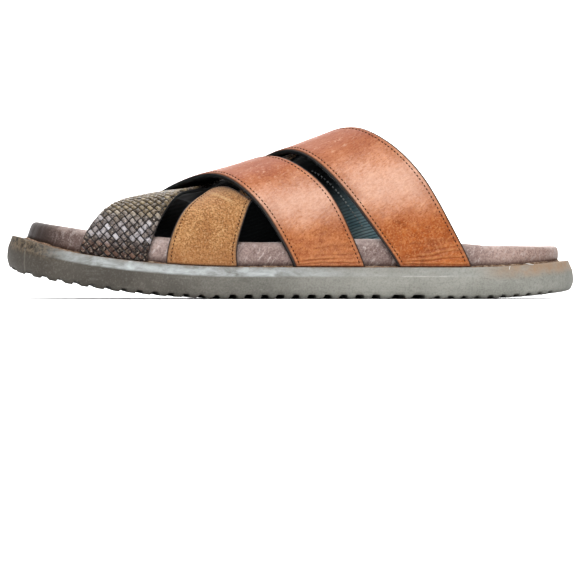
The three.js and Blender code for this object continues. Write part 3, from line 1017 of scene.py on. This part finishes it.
class Recipe:
    """Node material built up in layers of colour and bumps, with short calls for the nodes it uses."""

    def __init__(self, name, roughness, specular=0.5, coat=0.0, sheen=0.0):
        self.material = bpy.data.materials.new(name)
        self.material.use_nodes = True
        self.tree = self.material.node_tree
        self.shader = self.tree.nodes["Principled BSDF"]
        self.feed(self.shader, {"Roughness": roughness, "Specular IOR Level": specular})
        self.feed(self.shader, {"Coat Weight": coat, "Coat Roughness": 0.35})
        self.feed(self.shader, {"Sheen Weight": sheen, "Sheen Roughness": 0.5})
        self.coords = self.add("TexCoord", "Object", {})
        self.colour = None
        self.normal = None

    def feed(self, node, inputs):
        """Give each input a number, a colour or another node's output; None leaves it as it is."""
        for label, value in inputs.items():
            if isinstance(value, Value):
                self.tree.links.new(value.socket, node.inputs[label])
            elif value is not None:
                node.inputs[label].default_value = value

    def add(self, kind, output, inputs, **settings):
        """Output of a new node."""
        node = self.tree.nodes.new("ShaderNode" + kind)
        for label, setting in settings.items():
            setattr(node, label, setting)
        self.feed(node, inputs)
        return Value(self, node.outputs[output])

    def scaled(self, degrees, x, y=1.0, z=1.0):
        """Coordinates turned about the Y axis by some degrees, then scaled along each axis."""
        turn = (0, math.radians(degrees), 0)
        turned = self.add("Mapping", "Vector", {"Vector": self.coords, "Rotation": turn})
        return self.add("Mapping", "Vector", {"Vector": turned, "Scale": (x, y, z)})

    def noise(self, size_mm, detail=3.0, rough=0.55, coords=None, distortion=0.0):
        """Cloudy pattern from 0 to 1, with patches of the given size."""
        inputs = {"Vector": coords or self.coords, "Scale": METRE / size_mm, "Detail": detail}
        inputs.update({"Roughness": rough, "Distortion": distortion})
        return self.add("TexNoise", "Fac", inputs)

    def cells(self, size_mm):
        """Distance to the nearest edge between small cells."""
        inputs = {"Vector": self.coords, "Scale": METRE / size_mm}
        return self.add("TexVoronoi", "Distance", inputs, feature="DISTANCE_TO_EDGE")

    def waves(self, size_mm, coords, distortion):
        """Bands that follow each other along Z."""
        inputs = {"Vector": coords, "Scale": 2 * math.pi / WAVE_TURN * METRE / size_mm}
        inputs.update({"Distortion": distortion, "Detail": 2.0, "Detail Scale": 0.3})
        return self.add("TexWave", "Fac", inputs, bands_direction="Z")

    def value(self, label):
        """Number that a piece carries at each point."""
        return self.add("Attribute", "Fac", {}, attribute_name=label)

    def place(self, axis):
        """Place along an axis, in millimetres."""
        return self.add("SeparateXYZ", axis, {"Vector": self.coords}) * METRE

    def mix(self, share, a, b):
        return self.add("Mix", MIX_RESULT, {"Factor": share, MIX_A: a, MIX_B: b}, data_type="RGBA")

    def ramp(self, value, *stops):
        """Colours along a value; a stop is a place followed by three screen values."""
        output = self.add("ValToRGB", "Color", {"Fac": value})
        elements = output.socket.node.color_ramp.elements
        while len(elements) < len(stops):
            elements.new(0.5)
        for element, (place, *screen) in zip(elements, stops):
            element.position = place
            element.color = srgb(*screen)
        return output

    def layer(self, share, colour):
        """Lay a colour over what is there, from screen values or from another node."""
        over = srgb(*colour) if isinstance(colour, tuple) else colour
        self.colour = self.mix(share, self.colour, over)

    def bump(self, height, depth_mm, strength):
        """Add a fine relief to those that are there."""
        inputs = {"Height": height, "Distance": depth_mm * MM, "Strength": strength, "Normal": self.normal}
        self.normal = self.add("Bump", "Normal", inputs)

    def done(self, roughness=None):
        self.feed(self.shader, {"Base Color": self.colour, "Normal": self.normal, "Roughness": roughness})
        return self.material


def cognac_leather():
    r = Recipe("cognac_leather", 0.45, specular=0.1, coat=0.03)
    patch = r.noise(12, 8, 0.72)
    fine = r.noise(0.95, 5, 0.75, r.scaled(34, 0.5), 0.4)
    mottle = r.noise(3.2, 6, 0.75, r.scaled(30, 0.6), 0.5)
    grain = r.noise(1.3, 5, 0.8, r.scaled(30, 0.7), 0.3)
    scratch = r.noise(1.3, 6, 0.72, r.scaled(38, 0.22), 0.6)
    drawn = r.noise(1.0, 5, 0.7, r.scaled(-24, 0.3), 0.4)
    edge = r.value("edge_mm")
    wavy = r.value("rise") + (patch - 0.5) * 0.26
    # Height masks: above carries the painted light on the upper part, pale the painted highlight band, calm
    # keeps specks faint in that band
    above = wavy.climb(0.22, 0.42)
    foot = wavy.span(0.26, 0.5, 1.0, 0.25)
    pale = wavy.climb(0.26, 0.52) * wavy.fall(0.55, 0.9)
    calm = 1.0 - pale * 0.72

    # Dark foot as painted shade, upper part lightened to tan as painted light, with a pale painted highlight
    # band across its middle, brown towards the crest
    r.colour = r.ramp(patch, (0.3, 118, 50, 14), (0.5, 170, 84, 30), (0.68, 200, 112, 48))
    r.layer(r.value("tone") * 0.34, (214, 152, 114))
    upper = r.ramp(r.noise(22, 4, 0.6), (0.34, 162, 84, 44), (0.5, 194, 116, 70), (0.66, 216, 142, 96))
    r.layer(above, upper)
    r.layer(mottle.climb(0.5, 0.62, 0.5) * foot, (124, 58, 24))
    r.layer(mottle.fall(0.36, 0.48, 0.5) * foot, (216, 140, 82))
    r.layer(pale * 0.78, (238, 196, 174))
    r.layer(edge.fall(2.5, 9.0, 0.5) * patch.climb(0.4, 0.6), (150, 78, 36))
    r.layer(fine.climb(0.47, 0.62, 0.7) * calm, (138, 70, 32))
    r.layer(r.noise(1.0, 3, 0.7).climb(0.5, 0.62, 0.45) * calm, (228, 156, 104))
    r.layer(grain.climb(0.42, 0.62, 0.34), (184, 112, 70))
    r.layer(wavy.climb(0.72, 0.98, 0.62), (152, 86, 68))

    # Scratches, paler where the upper part is painted light; painted shade in the crease troughs and a
    # painted highlight on the ridge above each; edges and the dark line at the sole
    r.layer(scratch.climb(0.54, 0.7, 0.5), r.mix(above, srgb(224, 142, 78), srgb(238, 190, 156)))
    r.layer(drawn.climb(0.56, 0.72, 0.4) * calm, (146, 74, 34))
    r.layer(r.value("crease").climb(0.05, 0.5, 0.5), (132, 66, 30))
    r.layer(r.value("ridge").climb(0.04, 0.34, 0.32), (228, 160, 104))
    r.layer(edge.fall(1.2, 1.7, 0.15), (204, 156, 124))
    r.layer(edge.fall(0.15, 0.7, 0.85), (84, 54, 40))
    r.layer(r.value("rise_mm").fall(0.4, 1.4, 0.75), (70, 42, 28))
    r.bump(r.cells(0.9), 0.1, 0.5)
    r.bump(r.noise(3.0, 6, 0.7), 0.25, 0.5)
    r.bump(scratch, 0.15, 0.4)
    return r.done(fine.span(0.3, 0.75, 0.36, 0.56))


def cut_edge(name, roughness, size_mm, dark, light):
    r = Recipe(name, roughness)
    r.colour = r.ramp(r.noise(size_mm), (0.3, *dark), (0.7, *light))
    r.bump(r.noise(0.7, 2), 0.12, 0.5)
    return r.done()


def black_lining():
    r = Recipe("black_lining", 0.7, specular=0.15)
    cloud = r.noise(6, 4)
    creases = r.waves(1.7, r.scaled(16, 0.5, 0.5), 7.0)
    height = r.place("Z")
    # Painted sheen of light on the lining of the outer half towards the heel, fading higher up, with painted
    # shade in its crease troughs
    heel_side = r.place("X").climb(12, 46) * r.place("Y").climb(20, 34)
    r.colour = r.ramp(cloud, (0.3, 6, 8, 9), (0.7, 18, 22, 24))
    painted_sheen = r.ramp(cloud, (0.3, 134, 184, 198), (0.7, 206, 236, 242))
    r.layer(heel_side * height.span(34, 66, 1.0, 0.12), painted_sheen)
    r.layer(creases.fall(0.1, 0.6, 0.6) * height.span(40, 58, 1.0, 0.15), (14, 22, 25))
    r.bump(r.cells(1.1), 0.06, 0.4)
    r.bump(creases, 0.25, 0.4)
    return r.done()


def tan_suede():
    r = Recipe("tan_suede", 0.95, specular=0.12, sheen=0.3)
    speck = r.noise(0.95, 4, 0.7)
    brushed = r.noise(11, 5, 0.65, r.scaled(0, 1.0, 1.0, 0.6))
    edge = r.value("edge_mm")
    rise = r.value("rise_mm")
    r.colour = r.ramp(brushed, (0.34, 162, 108, 62), (0.5, 182, 128, 78), (0.68, 200, 148, 96))
    r.layer(r.noise(0.75, 3, 0.65).climb(0.46, 0.57, 0.75), (112, 70, 36))
    r.layer(speck.climb(0.53, 0.64, 0.68), (224, 178, 124))
    r.layer(speck.fall(0.32, 0.44, 0.4), (140, 94, 54))
    # Painted highlight along the raised fold near the top
    r.layer(r.value("crease").fall(-0.5, -0.12, 0.6), (232, 196, 142))
    r.layer(edge.fall(0.9, 1.6, 0.45), (150, 120, 88))
    r.layer(edge.fall(0.1, 0.6, 0.75), (84, 58, 38))
    r.layer(rise.fall(0, 16, 0.4), (156, 102, 62))
    r.layer(rise.fall(0.4, 1.4, 0.7), (74, 48, 32))
    r.bump(r.noise(0.6, 3, 0.7), 0.18, 0.5)
    r.bump(brushed, 0.3, 0.3)
    return r.done()


def woven_leather():
    r = Recipe("woven_leather", 0.35, specular=0.25, coat=0.05)
    tone = r.value("tone")
    rise = r.value("rise_mm")
    wear = r.noise(1.6, 4, 0.65)

    # Maroon at the foot, a silvery painted highlight band above it, olive towards the crest
    r.colour = r.ramp(tone, (0.0, 16, 8, 6), (0.5, 50, 30, 25), (1.0, 104, 74, 60))
    olive = r.ramp(tone, (0.0, 54, 43, 30), (0.5, 100, 85, 62), (1.0, 148, 131, 100))
    r.layer(rise.climb(4, 24), olive)
    lit = tone * 0.55 + r.value("shine") * 0.45 + (wear - 0.5) * 0.8
    painted_highlight = r.ramp(lit, (0.12, 36, 28, 28), (0.48, 112, 103, 104), (0.85, 214, 212, 220))
    r.layer(rise.climb(5, 12) * rise.fall(15, 27) * 0.85, painted_highlight)

    # Wear, pale specks, painted shadow under the front strap, and painted shade in the gaps between the
    # strips and where they dip under
    r.layer(wear.climb(0.5, 0.72, 0.4), (150, 132, 108))
    r.layer(wear.fall(0.34, 0.48, 0.55), (40, 28, 23))
    r.layer(r.noise(1.1, 3, 0.7).climb(0.54, 0.64, 0.65), (176, 158, 142))
    r.layer(r.value("cover").climb(0.2, 1.0, 0.88), (14, 11, 9))
    r.layer(r.value("raised").fall(0.25, 0.85, 0.98), (12, 8, 7))
    r.bump(r.noise(0.9, 3, 0.6), 0.1, 0.4)
    return r.done(wear.span(0.35, 0.7, 0.25, 0.45))


def rim_leather():
    r = Recipe("rim_leather", 0.5, specular=0.35, coat=0.04)
    along = r.place("X")
    rise = r.value("rise")
    wrinkle = r.noise(2.1, 5, 0.7, r.scaled(58, 0.35), 0.4)
    grain = r.noise(0.9, 4, 0.7)

    # Mauve brown, redder at the heel, darker at the toe, with painted shadow between the leather straps
    patch = r.noise(16, 5, 0.6)
    r.colour = r.ramp(patch, (0.32, 132, 107, 100), (0.5, 160, 136, 129), (0.68, 190, 166, 158))
    heel = along.climb(85, 110)
    toe = along.fall(-115, -75, 0.9)
    r.layer(heel * 0.6, (182, 150, 136))
    r.layer(toe, (78, 58, 52))
    r.layer(along.climb(28, 42) * along.fall(56, 70) * 0.45, (92, 68, 62))

    # Wrinkles and grain
    strong = (0.8 - heel * 0.4) * (1.0 - toe * 0.6)
    r.layer(wrinkle.fall(0.3, 0.46) * strong, (96, 74, 70))
    r.layer(wrinkle.climb(0.52, 0.62) * strong * 0.8, (222, 208, 202))
    r.layer(grain.climb(0.48, 0.62, 0.5), (100, 78, 72))
    r.layer(grain.fall(0.38, 0.5, 0.32), (200, 180, 172))

    # Paler mottled crown, dark cup and foot, dark end of the toe
    crown = rise.climb(0.66, 0.95) * rise.fall(1.0, 1.2)
    r.layer(crown * r.noise(7).span(0.35, 0.65, 0.1, 0.6), (190, 170, 162))
    r.layer(rise.climb(1.02, 1.35), (74, 52, 44))
    r.layer(rise.fall(0.0, 0.4, 0.5), (92, 70, 63))
    r.layer(along.fall(-128, -108, 0.95), (46, 31, 25))
    r.bump(wrinkle, 0.35, 0.6)
    r.bump(r.cells(1.0), 0.06, 0.4)
    return r.done()


def cement():
    r = Recipe("cement", 0.85, specular=0.2)
    lumps = r.noise(2.2, 5, 0.7)
    r.colour = r.ramp(lumps, (0.34, 74, 56, 46), (0.5, 140, 112, 90), (0.66, 196, 176, 152))
    r.bump(lumps, 0.3, 0.6)
    return r.done()


def insole_leather():
    r = Recipe("insole_leather", 0.6)
    r.colour = r.ramp(r.noise(22, 4), (0.3, 46, 34, 28), (0.7, 78, 58, 47))
    r.layer(r.value("rise").fall(2.6, 4.2, 0.6), (34, 25, 21))
    r.bump(r.cells(1.3), 0.06, 0.4)
    r.bump(r.noise(9), 0.3, 0.3)
    return r.done()


def sole_rubber():
    r = Recipe("sole_rubber", 0.7, specular=0.25)
    along = r.place("X")
    rise = r.value("rise")
    cloud = r.noise(30, 5, 0.6)
    fine = r.noise(0.9, 4, 0.7)
    streak = r.noise(1.8, 5, 0.68, r.scaled(0, 0.1), 0.3)

    # Dark grey at the toe to pale grey at the heel, with fine grain and streaks
    r.colour = r.ramp(cloud, (0.35, 76, 71, 64), (0.65, 104, 99, 91))
    r.layer(along.climb(-85, 60), r.ramp(cloud, (0.35, 142, 142, 134), (0.65, 162, 162, 154)))
    r.layer(along.fall(-125, -95, 0.75), (66, 59, 51))
    r.layer(fine.climb(0.46, 0.64, 0.26), (66, 63, 58))
    r.layer(fine.fall(0.36, 0.48, 0.12), (168, 166, 158))
    r.layer(streak.climb(0.54, 0.72, 0.22) * along.span(-50, 30, 0.3, 1.0), (196, 196, 188))
    r.layer(streak.fall(0.3, 0.44, 0.22), (76, 73, 67))

    # Painted reflection on the bevel, dirt along the upper edge, dust at the heel, glue on the ledge, mud on
    # the toe, dark tread
    bevel = rise.climb(0.66, 0.74) * along.span(-30, 50, 1.0, 0.15)
    bevel = bevel * along.span(-125, -95, 0.25, 1.0)
    mottle = r.noise(5, 6, 0.7, r.scaled(0, 0.4), 0.4)
    painted_sheen = r.ramp(mottle, (0.34, 122, 122, 118), (0.48, 168, 172, 171), (0.68, 206, 213, 214))
    r.layer(bevel * 0.92, painted_sheen)
    dirt = rise.climb(0.86, 0.98) * r.noise(3.5, 5, 0.7).span(0.38, 0.6, 0.1, 0.6)
    r.layer(dirt * along.span(0, 60, 1.0, 0.3), (122, 108, 96))
    dust = along.climb(88, 118) * rise.climb(0.5, 0.84)
    r.layer(dust * r.noise(8, 4, 0.65).span(0.3, 0.62, 0.3, 0.8), (168, 134, 102))
    ledge = rise.climb(0.975, 0.999)
    r.layer(ledge * 0.5, (104, 84, 68))
    r.layer(ledge * r.noise(2.4, 4, 0.7).climb(0.44, 0.58), (150, 122, 98))
    mud = r.ramp(r.noise(1.9, 6, 0.75), (0.42, 34, 27, 18), (0.57, 116, 100, 80))
    r.layer(along.fall(-132, -106) * rise.climb(0.5, 0.78) * 0.95, mud)
    r.layer(rise.fall(0.0, 0.16, 0.55), (58, 55, 49))

    # Scratch and mould line
    scored = along.climb(53, 57) * along.fall(74, 81) * r.place("Y").fall(-20, 0)
    scored = scored * r.place("Z").away(SCRATCH_HEIGHT).fall(0.1, 0.5, 0.45)
    r.layer(scored * r.noise(4, 4, 0.7).span(0.36, 0.56, 0.3, 1.0), (210, 209, 203))
    r.layer(along.away(MOULD_LINE).fall(0.2, 0.6, 0.15), (168, 164, 154))
    r.bump(fine, 0.14, 0.45)
    r.bump(streak, 0.12, 0.3)
    return r.done()


def thread(name, dark, light):
    r = Recipe(name, 0.8, specular=0.1)
    r.colour = r.ramp(r.noise(0.8, 2), (0.3, *dark), (0.7, *light))
    r.bump(r.noise(0.3, 2), 0.05, 0.5)
    return r.done()


def pale_floor():
    r = Recipe("pale_floor", 0.85, specular=0.2)
    patchy = r.noise(400, 2).climb(0.3, 0.7)
    r.colour = r.mix(patchy, (0.95, 0.95, 0.95, 1), (0.97, 0.97, 0.97, 1))
    return r.done()


# Stage, camera and light

def make_floor(material):
    """Floor that sweeps up behind the sandal."""
    half, back, radius = FLOOR.half, FLOOR.back, FLOOR.radius
    profile = [(FLOOR.front, 0.0), (back, 0.0)]
    for k in range(1, FLOOR.steps + 1):
        angle = k / FLOOR.steps * math.pi / 2
        profile.append((back + radius * math.sin(angle), radius - radius * math.cos(angle)))
    profile.append((back + radius, FLOOR.top))
    points = [(x, y, z) for y, z in profile for x in (-half, half)]
    faces = [(2 * k, 2 * k + 1, 2 * k + 3, 2 * k + 2) for k in range(len(profile) - 1)]
    mesh = bpy.data.meshes.new("studio_floor")
    mesh.from_pydata(points, [], faces)
    mesh.polygons.foreach_set("use_smooth", [True] * len(faces))
    mesh.materials.append(material)
    floor = bpy.data.objects.new("studio_floor", mesh)
    bpy.context.scene.collection.objects.link(floor)


def make_lights():
    world = bpy.data.worlds.new("studio_world")
    world.use_nodes = True
    background = world.node_tree.nodes["Background"]
    background.inputs["Color"].default_value = (1, 1, 1, 1)
    background.inputs["Strength"].default_value = WORLD_LIGHT
    bpy.context.scene.world = world
    bpy.context.scene.view_settings.view_transform = "Standard"
    for row in LIGHTS:
        data = bpy.data.lights.new(row.name, "AREA")
        data.shape = "DISK"
        data.size = row.size
        data.energy = row.power
        light = bpy.data.objects.new(row.name, data)
        light.location = row.place
        aim = Vector(row.target) - Vector(row.place)
        light.rotation_euler = aim.to_track_quat("-Z", "Y").to_euler()
        bpy.context.scene.collection.objects.link(light)


def make_camera():
    data = bpy.data.cameras.new("photo_camera")
    data.lens = CAMERA.lens
    data.sensor_width = CAMERA.sensor
    data.clip_start = CAMERA.near * MM
    camera = bpy.data.objects.new("photo_camera", data)
    camera.location = (SHIFT[0] * MM, -CAMERA.distance * MM, CAMERA.height * MM)
    camera.rotation_euler = (math.pi / 2, 0, 0)
    bpy.context.scene.collection.objects.link(camera)
    bpy.context.scene.camera = camera


def make_sandal():
    cognac, lining = cognac_leather(), black_lining()
    raw = cut_edge("raw_leather_edge", 0.75, 1.2, (16, 12, 10), (44, 32, 26))
    dark = cut_edge("dark_strap_edge", 0.7, 1.5, (30, 22, 18), (66, 48, 38))
    brown_thread = thread("brown_thread", (40, 24, 16), (78, 48, 30))
    make_outsole(sole_rubber())
    make_footbed(rim_leather())
    make_cement(cement())
    make_insole(insole_leather())
    make_strap("woven", woven_leather(), dark, lining)
    make_strap("suede", tan_suede(), raw, lining)
    make_strap("front", cognac, raw, lining)
    make_strap("rear", cognac, raw, lining)
    for name in STITCHES:
        make_stitches(name, brown_thread)
    make_lining_seam(thread("grey_thread", (120, 128, 128), (186, 194, 194)))
    make_loose_threads(thread("white_thread", (214, 210, 202), (244, 242, 238)))


make_sandal()
make_floor(pale_floor())
make_lights()
make_camera()
